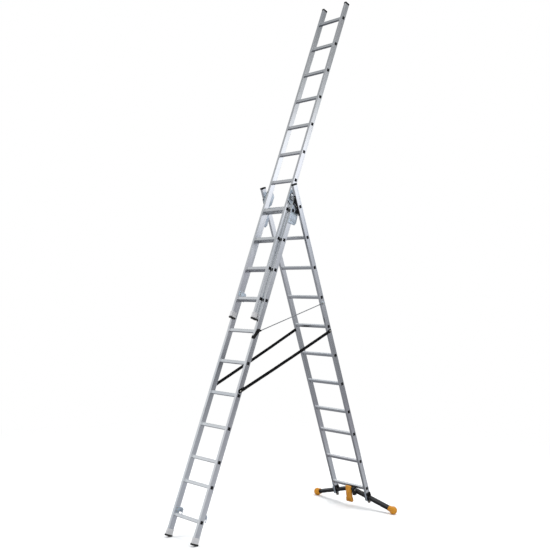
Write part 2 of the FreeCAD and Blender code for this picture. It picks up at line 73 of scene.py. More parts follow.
# camera, floor and light
def placeCamera():
    view = {
        "fromCrossing": (5.638, -5.212, -0.8726),
        "turn": 47.60,     # degrees to the left of +Y
        "rise": 1.55,      # degrees above the horizon
        "roll": 1.10,
        "lens": 56.4,
    }
    turn, rise, roll = (math.radians(view[key]) for key in ("turn", "rise", "roll"))
    camera = bpy.data.objects.new("camera", bpy.data.cameras.new("camera"))
    camera.data.lens = view["lens"]
    camera.data.clip_end = 200
    aim = Matrix.Rotation(turn, 4, "Z") @ Matrix.Rotation(math.pi / 2 + rise, 4, "X")
    aim = aim @ Matrix.Rotation(roll, 4, "Z")
    camera.matrix_world = Matrix.Translation(crossing + Vector(view["fromCrossing"])) @ aim
    scene.collection.objects.link(camera)
    scene.camera = camera


placeCamera()
print("camera placed")


def buildStudio():
    studio = {
        "floorRadius": 90.0,
        "plainFrom": 1.6,      # metres from the ladder where the floor starts to fade into the backdrop
        "plainTo": 6.0,
        "floorTone": (0.93, 0.93, 0.93, 1),
        "floorRoughness": 0.9,
        "backdrop": (1.0, 1.0, 1.0, 1),
        # tone of the surroundings that the metal mirrors, by height above the horizon in degrees
        "rearSky": [(-90, 0.06), (-45, 0.04), (-33, 0.05), (-20, 0.30), (-14, 0.54), (-10, 0.44), (-5, 0.15),
                    (0, 0.36), (4, 0.60), (7, 1.20), (10.5, 1.40), (13, 0.42), (19, 0.26), (24, 0.50),
                    (30, 1.10), (90, 1.20)],
        "frontSky": [(-90, 0.06), (-55, 0.06), (-40, 0.17), (-33, 0.27), (-18, 0.32), (0, 0.42), (13, 0.78),
                     (22, 0.70), (30, 0.52), (39, 0.40), (50, 0.32), (70, 0.60), (90, 1.0)],
        "skyBlend": (-0.20, 0.15),   # where the front's tones give way to the rear's
        "lights": [
            # name, place, aim, size, watts
            ("key", (-3.6, -6.4, 6.8), (0, 0, 2.0), 4.0, 300.0),
            ("fill", (7.5, 1.5, 5.5), (0, 0, 1.8), 5.0, 130.0),
            ("top", (0.5, 2.0, 9.5), (0, 0, 0.0), 6.0, 420.0),
        ],
    }
    world = bpy.data.worlds.new("studio")
    scene.world = world
    world.use_nodes = True
    tree = world.node_tree
    tree.nodes.clear()
    output = tree.nodes.new("ShaderNodeOutputWorld")
    chooser = tree.nodes.new("ShaderNodeMixShader")
    rays = tree.nodes.new("ShaderNodeLightPath")
    plain = tree.nodes.new("ShaderNodeBackground")
    plain.inputs["Color"].default_value = studio["backdrop"]
    soft = tree.nodes.new("ShaderNodeBackground")
    direction = tree.nodes.new("ShaderNodeTexCoord")
    split = tree.nodes.new("ShaderNodeSeparateXYZ")
    height = tree.nodes.new("ShaderNodeMapRange")
    height.inputs["From Min"].default_value = -1
    tree.links.new(direction.outputs["Generated"], split.inputs["Vector"])
    tree.links.new(split.outputs["Z"], height.inputs["Value"])
    halves = []
    for half in ("frontSky", "rearSky"):
        tones = tree.nodes.new("ShaderNodeValToRGB")
        tones.color_ramp.interpolation = "EASE"
        stops = tones.color_ramp.elements
        for index, (degrees, tone) in enumerate(studio[half]):
            at = (math.sin(math.radians(degrees)) + 1) / 2
            stop = stops[index] if index < 1 else stops.new(at)
            stop.position = at
            stop.color = (tone * 0.97, tone, tone * (1.08 if degrees < 10 else 1.03), 1)
        stops.remove(stops[-1])
        tree.links.new(height.outputs["Result"], tones.inputs["Fac"])
        halves.append(tones)
    facing = tree.nodes.new("ShaderNodeMapRange")
    facing.interpolation_type = "SMOOTHSTEP"
    facing.inputs["From Min"].default_value = studio["skyBlend"][0]
    facing.inputs["From Max"].default_value = studio["skyBlend"][1]
    tree.links.new(split.outputs["Y"], facing.inputs["Value"])
    whole = tree.nodes.new("ShaderNodeMix")
    whole.data_type = "RGBA"
    tree.links.new(facing.outputs["Result"], whole.inputs[0])
    tree.links.new(halves[0].outputs["Color"], whole.inputs[6])
    tree.links.new(halves[1].outputs["Color"], whole.inputs[7])
    tree.links.new(whole.outputs[2], soft.inputs["Color"])
    tree.links.new(rays.outputs["Is Camera Ray"], chooser.inputs["Fac"])
    tree.links.new(soft.outputs["Background"], chooser.inputs[1])
    tree.links.new(plain.outputs["Background"], chooser.inputs[2])
    tree.links.new(chooser.outputs["Shader"], output.inputs["Surface"])

    bm = bmesh.new()
    bmesh.ops.create_circle(bm, cap_ends=True, radius=studio["floorRadius"], segments=96)
    mesh = bpy.data.meshes.new("floor")
    bm.to_mesh(mesh)
    bm.free()
    floor = bpy.data.objects.new("floor", mesh)
    scene.collection.objects.link(floor)
    floor.visible_glossy = False
    material = bpy.data.materials.new("pale floor")
    material.use_nodes = True
    tree = material.node_tree
    shader = tree.nodes["Principled BSDF"]
    shader.inputs["Base Color"].default_value = studio["floorTone"]
    shader.inputs["Roughness"].default_value = studio["floorRoughness"]
    glow = tree.nodes.new("ShaderNodeEmission")
    glow.inputs["Color"].default_value = studio["backdrop"]
    place = tree.nodes.new("ShaderNodeTexCoord")
    reach = tree.nodes.new("ShaderNodeVectorMath")
    reach.operation = "LENGTH"
    fade = tree.nodes.new("ShaderNodeMapRange")
    fade.interpolation_type = "SMOOTHSTEP"
    fade.inputs["From Min"].default_value = studio["plainFrom"]
    fade.inputs["From Max"].default_value = studio["plainTo"]
    blend = tree.nodes.new("ShaderNodeMixShader")
    tree.links.new(place.outputs["Object"], reach.inputs[0])
    tree.links.new(reach.outputs["Value"], fade.inputs["Value"])
    tree.links.new(fade.outputs["Result"], blend.inputs["Fac"])
    tree.links.new(shader.outputs["BSDF"], blend.inputs[1])
    tree.links.new(glow.outputs["Emission"], blend.inputs[2])
    tree.links.new(blend.outputs["Shader"], tree.nodes["Material Output"].inputs["Surface"])
    mesh.materials.append(material)

    for name, place, aim, size, watts in studio["lights"]:
        lamp = bpy.data.lights.new(name, "AREA")
        lamp.size = size
        lamp.energy = watts
        light = bpy.data.objects.new(name, lamp)
        light.location = place
        light.visible_glossy = False
        light.rotation_euler = (Vector(aim) - Vector(place)).to_track_quat("-Z", "Y").to_euler()
        scene.collection.objects.link(light)
    scene.view_settings.view_transform = "Standard"


buildStudio()
print("studio lit")


# material helpers
def newMaterial(name, metallic=0.0, roughness=0.5, **sockets):
    material = bpy.data.materials.new(name)
    material.use_nodes = True
    shader = material.node_tree.nodes["Principled BSDF"]
    shader.inputs["Metallic"].default_value = metallic
    shader.inputs["Roughness"].default_value = roughness
    for socket, value in sockets.items():
        shader.inputs[socket.replace("_", " ")].default_value = value
    return material, material.node_tree, shader


def patternSpace(tree, stretch=(1, 1, 1), turn=0.0, source="Object"):
    coordinates = tree.nodes.new("ShaderNodeTexCoord")
    turned = tree.nodes.new("ShaderNodeMapping")
    turned.inputs["Rotation"].default_value = (turn, 0, 0)
    stretched = tree.nodes.new("ShaderNodeMapping")
    stretched.inputs["Scale"].default_value = stretch
    tree.links.new(coordinates.outputs[source], turned.inputs["Vector"])
    tree.links.new(turned.outputs["Vector"], stretched.inputs["Vector"])
    return stretched.outputs["Vector"]


def noise(tree, vector, scale, detail=2.0, roughness=0.5, distortion=0.0):
    node = tree.nodes.new("ShaderNodeTexNoise")
    node.inputs["Scale"].default_value = scale
    node.inputs["Detail"].default_value = detail
    node.inputs["Roughness"].default_value = roughness
    node.inputs["Distortion"].default_value = distortion
    tree.links.new(vector, node.inputs["Vector"])
    return node.outputs["Fac"]


def cells(tree, vector, scale, feature="F1", output="Color"):
    node = tree.nodes.new("ShaderNodeTexVoronoi")
    node.feature = feature
    node.inputs["Scale"].default_value = scale
    tree.links.new(vector, node.inputs["Vector"])
    return node.outputs[output]


def ramp(tree, value, stops):
    node = tree.nodes.new("ShaderNodeValToRGB")
    elements = node.color_ramp.elements
    for index, (at, colour) in enumerate(stops):
        element = elements[index] if index < 2 else elements.new(at)
        element.position = at
        element.color = (*colour, 1) if isinstance(colour, tuple) else (colour, colour, colour, 1)
    tree.links.new(value, node.inputs["Fac"])
    return node.outputs["Color"]


def mixed(tree, amount, first, second, blend="MIX"):
    node = tree.nodes.new("ShaderNodeMix")
    node.data_type = "RGBA"
    node.blend_type = blend
    sockets = {socket.identifier: socket for socket in node.inputs}
    for key, value in (("Factor_Float", amount), ("A_Color", first), ("B_Color", second)):
        if isinstance(value, (int, float)):
            sockets[key].default_value = value
        elif isinstance(value, tuple):
            sockets[key].default_value = (*value, 1)
        else:
            tree.links.new(value, sockets[key])
    return next(socket for socket in node.outputs if socket.identifier == "Result_Color")


def spread(tree, value, low, high, fromLow=0.0, fromHigh=1.0):
    node = tree.nodes.new("ShaderNodeMapRange")
    node.inputs["From Min"].default_value = fromLow
    node.inputs["From Max"].default_value = fromHigh
    node.inputs["To Min"].default_value = low
    node.inputs["To Max"].default_value = high
    tree.links.new(value, node.inputs["Value"])
    return node.outputs["Result"]


def relief(tree, shader, layers):
    # each layer is a height, its strength and its depth in metres
    previous = None
    for height, strength, depth in layers:
        node = tree.nodes.new("ShaderNodeBump")
        node.inputs["Strength"].default_value = strength
        node.inputs["Distance"].default_value = depth
        tree.links.new(height, node.inputs["Height"])
        if previous is not None:
            tree.links.new(previous, node.inputs["Normal"])
        previous = node.outputs["Normal"]
    tree.links.new(previous, shader.inputs["Normal"])


# metals
def drawnAluminium(name, turn, alongRungs=False):
    look = {
        "coolTone": (0.76, 0.78, 0.81),
        "brightTone": (0.90, 0.91, 0.92),
        "warmTone": (0.83, 0.82, 0.85),
        "dieLines": 240.0,     # fine lines that the extrusion die leaves along the bar
        "lineLength": 1.6,
        "hazeScale": 1.1,
        "scuffScale": 42.0,
        "lineDepth": 0.00025,
    }
    material, tree, shader = newMaterial(name, metallic=1.0, roughness=0.3)
    lines, length = look["dieLines"], look["lineLength"]
    stretch = (length, lines, lines) if alongRungs else (lines, lines, length)
    streaks = noise(tree, patternSpace(tree, stretch, turn), 1.0, 3.0, 0.6)
    haze = noise(tree, patternSpace(tree, (1, 1, 1), turn), look["hazeScale"], 2.0, 0.5)
    smears = noise(tree, patternSpace(tree, (6, 6, 1.4), turn), 5.0, 4.0, 0.65, 0.6)
    scuffs = noise(tree, patternSpace(tree, (1, 1, 0.35), turn), look["scuffScale"], 5.0, 0.75)
    body = ramp(tree, haze, [(0.30, look["coolTone"]), (0.70, look["warmTone"]), (0.5, look["brightTone"])])
    body = mixed(tree, 0.24, body, ramp(tree, streaks, [(0.30, 0.62), (0.72, 1.0)]), "MULTIPLY")
    body = mixed(tree, 0.28, body, ramp(tree, scuffs, [(0.30, 0.66), (0.46, 1.0)]), "MULTIPLY")
    tree.links.new(body, shader.inputs["Base Color"])
    rough = mixed(tree, 0.5, spread(tree, streaks, 0.10, 0.24), spread(tree, smears, 0.10, 0.26))
    tree.links.new(rough, shader.inputs["Roughness"])
    relief(tree, shader, [(streaks, 0.35, look["lineDepth"]), (scuffs, 0.10, look["lineDepth"])])
    return material


def galvanisedSteel():
    look = {"spangle": 150.0, "grain": 900.0, "blue": (0.60, 0.70, 0.80), "pale": (0.80, 0.86, 0.92)}
    material, tree, shader = newMaterial("galvanised steel", metallic=0.9, roughness=0.38)
    space = patternSpace(tree)
    crystals = cells(tree, space, look["spangle"])
    clouds = noise(tree, space, 18.0, 3.0)
    grain = noise(tree, space, look["grain"], 2.0)
    body = mixed(tree, clouds, look["blue"], look["pale"])
    body = mixed(tree, 0.22, body, crystals, "SOFT_LIGHT")
    tree.links.new(body, shader.inputs["Base Color"])
    tree.links.new(spread(tree, crystals, 0.26, 0.50), shader.inputs["Roughness"])
    relief(tree, shader, [(grain, 0.15, 0.0002), (crystals, 0.12, 0.0001)])
    return material


def platedSteel(name, colour, warm, rough):
    look = {"clouds": 60.0, "grain": 1400.0, "rustSpots": 210.0, "rust": (0.24, 0.17, 0.11)}
    material, tree, shader = newMaterial(name, metallic=1.0, roughness=rough)
    space = patternSpace(tree)
    clouds = noise(tree, space, look["clouds"], 3.0)
    grain = noise(tree, space, look["grain"], 2.0)
    rust = noise(tree, space, look["rustSpots"], 5.0, 0.8)
    body = mixed(tree, clouds, colour, warm)
    body = mixed(tree, spread(tree, rust, 0.0, 0.7, 0.60, 0.72), body, look["rust"])
    tree.links.new(body, shader.inputs["Base Color"])
    tree.links.new(spread(tree, clouds, rough - 0.08, rough + 0.14), shader.inputs["Roughness"])
    relief(tree, shader, [(grain, 0.2, 0.00015)])
    return material


def powderCoatedSteel():
    look = {
        "peel": 420.0,
        "chips": 95.0,
        "base": (0.012, 0.012, 0.013),
        "dust": (0.05, 0.05, 0.05),
        "bare": (0.16, 0.16, 0.17),
    }
    material, tree, shader = newMaterial("black powder coat", roughness=0.34, Specular_IOR_Level=0.3)
    space = patternSpace(tree)
    peel = noise(tree, space, look["peel"], 2.0)
    wear = noise(tree, space, look["chips"], 6.0, 0.8)
    dust = noise(tree, patternSpace(tree, (1, 1, 2.0)), 14.0, 4.0, 0.7)
    body = mixed(tree, spread(tree, dust, 0.0, 0.35, 0.45, 0.75), look["base"], look["dust"])
    body = mixed(tree, spread(tree, wear, 0.0, 0.8, 0.69, 0.72), body, look["bare"])
    tree.links.new(body, shader.inputs["Base Color"])
    tree.links.new(spread(tree, dust, 0.28, 0.52), shader.inputs["Roughness"])
    relief(tree, shader, [(peel, 0.30, 0.0003), (wear, 0.15, 0.0002)])
    return material


# plastics, rubber and webbing
def mouldedPlastic(name, colour, shade, rough, dustAmount=0.25, scuffTone=None, shine=0.5):
    look = {"dust": (0.34, 0.33, 0.31), "grain": 1100.0, "depth": 0.0002}
    material, tree, shader = newMaterial(name, roughness=rough, Specular_IOR_Level=shine)
    space = patternSpace(tree)
    mottle = noise(tree, space, 26.0, 3.0)
    texture = noise(tree, space, look["grain"], 2.0)
    dust = noise(tree, space, 70.0, 5.0, 0.7)
    marks = noise(tree, patternSpace(tree, (1, 3, 1)), 130.0, 5.0, 0.8)
    body = mixed(tree, mottle, colour, shade)
    if scuffTone is not None:
        body = mixed(tree, spread(tree, marks, 0.0, 0.7, 0.60, 0.70), body, scuffTone)
    body = mixed(tree, spread(tree, dust, 0.0, dustAmount, 0.5, 0.8), body, look["dust"])
    tree.links.new(body, shader.inputs["Base Color"])
    tree.links.new(spread(tree, dust, rough - 0.08, rough + 0.18), shader.inputs["Roughness"])
    relief(tree, shader, [(texture, 0.25, look["depth"]), (marks, 0.12, look["depth"])])
    return material


def rubber(name, colour, shade):
    look = {"bloom": 45.0, "pores": 1600.0}
    material, tree, shader = newMaterial(name, roughness=0.8)
    space = patternSpace(tree)
    bloom = noise(tree, space, look["bloom"], 4.0, 0.7)
    pores = noise(tree, space, look["pores"], 2.0)
    tree.links.new(mixed(tree, bloom, colour, shade), shader.inputs["Base Color"])
    tree.links.new(spread(tree, bloom, 0.66, 0.92), shader.inputs["Roughness"])
    relief(tree, shader, [(pores, 0.35, 0.0003)])
    return material


def wovenWebbing():
    # the weave follows the strap's own UV map, which is in metres
    look = {"pick": 0.0016, "base": (0.0025, 0.0025, 0.003), "fray": (0.008, 0.008, 0.009)}
    material, tree, shader = newMaterial("black webbing", roughness=0.85, Specular_IOR_Level=0.15)
    # the wave texture repeats every 0.314 / scale, which makes one repeat of two picks
    waveScale = 1 / look["pick"] / 6.3
    diagonal = tree.nodes.new("ShaderNodeTexWave")
    diagonal.bands_direction = "DIAGONAL"
    diagonal.inputs["Scale"].default_value = waveScale
    diagonal.inputs["Distortion"].default_value = 0.4
    tree.links.new(patternSpace(tree, (1, 1, 1), source="UV"), diagonal.inputs["Vector"])
    ribs = tree.nodes.new("ShaderNodeTexWave")
    ribs.bands_direction = "Y"
    ribs.inputs["Scale"].default_value = waveScale
    tree.links.new(patternSpace(tree, (1, 1, 1), source="UV"), ribs.inputs["Vector"])
    fuzz = noise(tree, patternSpace(tree, (1, 1, 1), source="UV"), 2600.0, 3.0)
    weave = mixed(tree, 0.5, diagonal.outputs["Fac"], ribs.outputs["Fac"])
    body = mixed(tree, weave, look["base"], look["fray"])
    body = mixed(tree, 0.3, body, ramp(tree, fuzz, [(0.3, 0.4), (0.7, 1.0)]), "MULTIPLY")
    tree.links.new(body, shader.inputs["Base Color"])
    relief(tree, shader, [(weave, 0.7, 0.0004), (fuzz, 0.2, 0.0002)])
    return material


finishes = {
    "frontStile": drawnAluminium("front stile aluminium", leanAngle),
    "rearStile": drawnAluminium("rear stile aluminium", -leanAngle),
    "rung": drawnAluminium("rung aluminium", 0.0, True),
    "galvanised": galvanisedSteel(),
    "bolt": platedSteel("zinc plated bolt", (0.62, 0.62, 0.62), (0.68, 0.64, 0.52), 0.32),
    "rod": platedSteel("zinc plated rod", (0.30, 0.31, 0.33), (0.38, 0.39, 0.40), 0.38),
    "spring": platedSteel("spring steel", (0.30, 0.30, 0.31), (0.42, 0.40, 0.36), 0.30),
    "blackSteel": powderCoatedSteel(),
    "blackPlastic": mouldedPlastic("black plastic", (0.004, 0.004, 0.0045), (0.008, 0.008, 0.009), 0.50,
                                   dustAmount=0.04, scuffTone=(0.02, 0.02, 0.02), shine=0.22),
    "greyPlastic": mouldedPlastic("grey plastic", (0.50, 0.50, 0.51), (0.60, 0.59, 0.60), 0.44),
    "amberPlastic": mouldedPlastic("amber plastic", (0.50, 0.19, 0.003), (0.58, 0.25, 0.006), 0.34,
                                   dustAmount=0.10, scuffTone=(0.34, 0.14, 0.01)),
    "blackRubber": rubber("black rubber", (0.010, 0.010, 0.010), (0.030, 0.030, 0.029)),
    "greyRubber": rubber("grey rubber", (0.13, 0.115, 0.10), (0.22, 0.20, 0.18)),
    "webbing": wovenWebbing(),
}
nodeFinish = {
    "frontStile": ["front_stile_left", "front_stile_right", "upper_stile_left", "upper_stile_right"],
    "rearStile": ["rear_stile_left", "rear_stile_right"],
    "rung": ["front_rungs", "rear_rungs", "upper_rungs"],
    "galvanised": ["front_hook_left", "front_hook_right", "guide_plate_left", "guide_plate_right",
                   "hinge_plate_left", "hinge_plate_right", "bar_stirrup_left", "bar_stirrup_right",
                   "rod_bracket", "upper_hook_left", "upper_hook_right"],
    "bolt": ["front_hook_bolts", "guide_bolts", "hinge_plate_bolts", "hinge_block_bolts", "stirrup_bolts",
             "rod_pivot_bolt", "pedal_pin", "upper_hook_bolts", "strap_front_bolts", "strap_rear_bolts"],
    "blackSteel": ["crossbar_tube", "pedal_bracket", "guide_loop_left", "guide_loop_right"],
    "blackPlastic": ["front_rung_plugs", "rear_rung_plugs", "upper_rung_plugs", "rear_caps", "upper_caps",
                     "hinge_block_left", "hinge_block_right", "bar_guide_left", "bar_guide_right", "rod_hook",
                     "pivot_bolts"],
    "greyPlastic": ["front_shoe_left", "front_shoe_right", "upper_shoe_left", "upper_shoe_right"],
    "blackRubber": ["front_soles", "upper_soles"],
    "greyRubber": ["stop_feet"],
    "amberPlastic": ["ball_foot_left", "ball_foot_right", "brake_pedal"],
    "rod": ["stay_rod"],
    "spring": ["pedal_spring"],
    "webbing": ["spreader_strap_left", "spreader_strap_right"],
}
for finish, nodes in nodeFinish.items():
    for node in nodes:
        for materialSlot in frame["nodes"][node].material_slots:
            materialSlot.material = finishes[finish]
print("finishes on the frame's nodes:", sum(len(nodes) for nodes in nodeFinish.values()))

creaseAngle = 32       # degrees; sharper edges aren't shaded smooth


# helpers for the detailed pieces
def pieceName(node, ending):
    first, *rest = node.split("_")
    return first + "".join(word.capitalize() for word in rest) + ending


def finishPiece(name, bm, body, finish, slot, *replaced):
    bmesh.ops.recalc_face_normals(bm, faces=bm.faces)
    mesh = bpy.data.meshes.new(name)
    bm.to_mesh(mesh)
    bm.free()
    mesh.materials.append(finishes[finish])
    mesh.shade_smooth()
    mesh.set_sharp_from_angle(angle=math.radians(creaseAngle))
    piece = bpy.data.objects.new(name, mesh)
    scene.collection.objects.link(piece)
    if body:
        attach(piece, body)
    if replaced:
        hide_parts(*replaced)
    return piece


def solidsOf(node, space):
    # the points of each separate solid of a node, in that space
    bm = bmesh.new()
    bm.from_mesh(frame["nodes"][node].data)
    bm.transform(space.inverted())
    bmesh.ops.remove_doubles(bm, verts=bm.verts, dist=1e-6)
    seen = set()
    solids = []
    for first in bm.verts:
        if first.index in seen:
            continue
        seen.add(first.index)
        waiting = [first]
        points = []
        while waiting:
            vertex = waiting.pop()
            points.append(vertex.co.copy())
            for edge in vertex.link_edges:
                other = edge.other_vert(vertex)
                if other.index not in seen:
                    seen.add(other.index)
                    waiting.append(other)
        solids.append(points)
    bm.free()
    return solids


def limits(points):
    low = Vector(min(point[axis] for point in points) for axis in range(3))
    high = Vector(max(point[axis] for point in points) for axis in range(3))
    return low, high


def loft(bm, rings):
    # extrudes a face through a list of equal rings of points, then closes the end it left
    start = [bm.verts.new(point) for point in rings[0]]
    rows = [start]
    face = bm.faces.new(start)
    for ring in rings[1:]:
        face = bmesh.ops.extrude_discrete_faces(bm, faces=[face])["faces"][0]
        rows.append(list(face.verts))
        for vertex, point in zip(rows[-1], ring):
            vertex.co = point
    bm.faces.new(start)
    return rows


def turned(bm, space, along, profile, steps, middle=(0, 0), closed=False):
    # spins a profile of places and radii about one axis of a space; an open profile gets capped ends
    others = [axis for axis in range(3) if axis != along]
    line = []
    for place, radius in profile:
        point = Vector()
        point[along] = place
        point[others[0]] = middle[0] + radius
        point[others[1]] = middle[1]
        line.append(bm.verts.new(space @ point))
    edges = [bm.edges.new(pair) for pair in zip(line, line[1:] + (line[:1] if closed else []))]
    centre = Vector()
    centre[others[0]], centre[others[1]] = middle
    axis = Vector()
    axis[along] = 1
    bmesh.ops.spin(bm, geom=line + edges, cent=space @ centre, axis=(space.to_3x3() @ axis).normalized(),
                   angle=math.radians(360), steps=steps, use_merge=True)
    if not closed:
        rims = [edge for edge in bm.edges if edge.is_boundary]
        bmesh.ops.holes_fill(bm, edges=rims, sides=0)


def squareRing(space, along, at, middle, half, corner, steps=4):
    # a rounded rectangle square to one axis of a space; middle and half are for the other two axes
    others = [axis for axis in range(3) if axis != along]
    ring = []
    for quarter, (signA, signB) in enumerate(((1, 1), (-1, 1), (-1, -1), (1, -1))):
        for step in range(steps + 1):
            angle = math.pi / 2 * (quarter + step / steps)
            point = [0.0, 0.0, 0.0]
            point[along] = at
            point[others[0]] = middle[0] + signA * (half[0] - corner) + corner * math.cos(angle)
            point[others[1]] = middle[1] + signB * (half[1] - corner) + corner * math.sin(angle)
            ring.append(space @ Vector(point))
    return ring


def roundRing(space, along, at, middle, radius, points=24, sides=0):
    # a circle, or a hexagon when sides is 6, square to one axis of a space
    others = [axis for axis in range(3) if axis != along]
    ring = []
    for index in range(points):
        angle = 2 * math.pi * index / points
        reach = radius
        if sides:
            sector = 2 * math.pi / sides
            reach = radius * math.cos(sector / 2) / math.cos(angle % sector - sector / 2)
        point = [0.0, 0.0, 0.0]
        point[along] = at
        point[others[0]] = middle[0] + reach * math.cos(angle)
        point[others[1]] = middle[1] + reach * math.sin(angle)
        ring.append(space @ Vector(point))
    return ring


def softened(name, node, body, finish, slot, width, angle=30, extra=None):
    # the node's own shape with its sharp edges rounded off
    bm = bmesh.new()
    bm.from_mesh(frame["nodes"][node].data)
    bmesh.ops.remove_doubles(bm, verts=bm.verts, dist=2e-6)
    bmesh.ops.dissolve_limit(bm, angle_limit=math.radians(1), verts=bm.verts, edges=bm.edges)
    sharp = [edge for edge in bm.edges
             if len(edge.link_faces) == 2 and edge.calc_face_angle(0) > math.radians(angle)]
    bmesh.ops.bevel(bm, geom=sharp, offset=width, offset_type="OFFSET", segments=2, profile=0.5,
                    affect="EDGES", clamp_overlap=True, material=-1)
    if extra:
        extra(bm)
    return finishPiece(name, bm, body, finish, slot, node)


# rung ends: plug heads outside, swaged collars inside
def rungEnds():
    plug = {"half": 0.0135, "corner": 0.0035, "neckHalf": 0.0112, "neckDepth": 0.0060, "headDepth": 0.0020,
            "dishHalf": 0.0088, "dishDepth": 0.0010, "rim": 0.0007}
    collar = {"reach": 0.0050, "half": 0.0156, "lipHalf": 0.0147, "endHalf": 0.0137, "corner": 0.0050}
    for section, leg in (("front", frontLeg), ("rear", rearLeg), ("upper", frontLeg)):
        body = section + "_section"
        bm = bmesh.new()
        for points in solidsOf(section + "_rung_plugs", leg):
            low, high = limits(points)
            side = 1 if low.x > 0 else -1
            face = high.x if side > 0 else low.x
            middle = ((low.y + high.y) / 2, (low.z + high.z) / 2)
            rings = []
            for depth, half in ((plug["neckDepth"], plug["neckHalf"]), (plug["headDepth"], plug["neckHalf"]),
                                (plug["headDepth"], plug["half"]),
                                (plug["rim"], plug["half"]), (0.0002, plug["half"] - 0.0005),
                                (0.0, plug["half"] - 0.0012), (0.0, plug["dishHalf"] + 0.0008),
                                (plug["dishDepth"], plug["dishHalf"]), (plug["dishDepth"], 0.0040),
                                (plug["dishDepth"] - 0.0004, 0.0030)):
                corner = min(plug["corner"], half * 0.9)
                rings.append(squareRing(leg, 0, face - side * depth, middle, (half, half), corner))
            loft(bm, rings)
        finishPiece(section + "RungPlugs", bm, body, "blackPlastic", "black_plastic",
                    section + "_rung_plugs")
        bm = bmesh.new()
        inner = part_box(section + "_stile_right")[0][0]
        for points in solidsOf(section + "_rungs", leg):
            low, high = limits(points)
            middle = ((low.y + high.y) / 2, (low.z + high.z) / 2)
            for side in (1, -1):
                rings = []
                for away, half in ((-0.0006, collar["half"]), (0.0012, collar["half"]),
                                   (0.0022, collar["half"] - 0.0004), (0.0034, collar["lipHalf"]),
                                   (collar["reach"], collar["endHalf"])):
                    rings.append(squareRing(leg, 0, side * (inner - away), middle, (half, half),
                                            collar["corner"]))
                loft(bm, rings)
        finishPiece(section + "RungCollars", bm, body, "rung", "rung_aluminium")
        print("rung ends done:", section)


rungEnds()


# bolts: hexagon or socket heads on washers
def boltHeads(node, leg, axis, body, sides):
    # sizes are shares of the head's radius and height, except the washer's thickness
    look = {"washer": 1.16, "washerThick": 0.0009, "socket": 0.46, "socketDeep": 0.5, "shank": 0.6}
    others = [index for index in range(3) if index != axis]
    bm = bmesh.new()
    for points in solidsOf(node, leg):
        low, high = limits(points)
        middle = tuple((low[index] + high[index]) / 2 for index in others)

        def radius(point):
            return math.hypot(point[others[0]] - middle[0], point[others[1]] - middle[1])

        ends = []
        for end, way in ((high[axis], 1), (low[axis], -1)):
            near = max(radius(point) for point in points if abs(point[axis] - end) < 0.0022)
            ends.append((end, way, near))
        widest = max(near for end, way, near in ends)
        shank = min(min(near for end, way, near in ends), widest * look["shank"])
        reach = high[axis] - low[axis]
        turned(bm, leg, axis, [(low[axis] + reach * part, shank) for part in (0.04, 0.5, 0.96)], 16, middle)
        for end, way, near in ends:
            if near < widest * 0.8:
                continue
            wide = [point[axis] for point in points if radius(point) > near * 0.92]
            centre = (low[axis] + high[axis]) / 2
            if way > 0:
                seat = min(value for value in wide if value > centre)
            else:
                seat = max(value for value in wide if value < centre)
            tall = max(abs(end - seat), 0.0012)
            base = end - way * tall
            washer = near * look["washer"]
            thick = min(look["washerThick"], tall * 0.35)
            rings = [roundRing(leg, axis, base, middle, washer * 0.97),
                     roundRing(leg, axis, base + way * thick * 0.3, middle, washer),
                     roundRing(leg, axis, base + way * thick * 0.7, middle, washer),
                     roundRing(leg, axis, base + way * thick, middle, washer * 0.97),
                     roundRing(leg, axis, base + way * thick, middle, near, sides=sides)]
            # each ring of the head is how deep it lies, how wide it is and how many sides it has
            head = [(0.45, 0.97, 0), (0.15, 0.82, 0), (0, 0.58, 0), (0, look["socket"], 6),
                    (look["socketDeep"], look["socket"] * 0.96, 6)]
            if sides:
                head = [(0.22, 1.0, sides), (0.05, 0.88, 0), (0, 0.80, 0), (0, 0.30, 0), (0.08, 0.2, 0)]
            rings += [roundRing(leg, axis, end - way * tall * deep, middle, near * share, sides=corners)
                      for deep, share, corners in head]
            loft(bm, rings)
    finish = "blackPlastic" if node == "pivot_bolts" else "bolt"
    finishPiece(pieceName(node, "Detail"), bm, body, finish, "zinc_bolt", node)


for node, leg, axis, body, sides in (
        ("front_hook_bolts", frontLeg, 0, "front_section", 6),
        ("upper_hook_bolts", frontLeg, 0, "upper_section", 6),
        ("guide_bolts", frontLeg, 0, "front_section", 0),
        ("hinge_plate_bolts", frontLeg, 0, "front_section", 0),
        ("hinge_block_bolts", rearLeg, 1, "rear_section", 0),
        ("stirrup_bolts", rearLeg, 1, "rear_section", 6),
        ("rod_pivot_bolt", rearLeg, 0, "rear_section", 6),
        ("strap_front_bolts", frontLeg, 0, "front_section", 0),
        ("strap_rear_bolts", rearLeg, 0, "rear_section", 0),
        ("pivot_bolts", frontLeg, 0, "front_section", 6),
        ("pedal_pin", rearLeg, 0, "rear_section", 0)):
    boltHeads(node, leg, axis, body, sides)
print("bolts done")


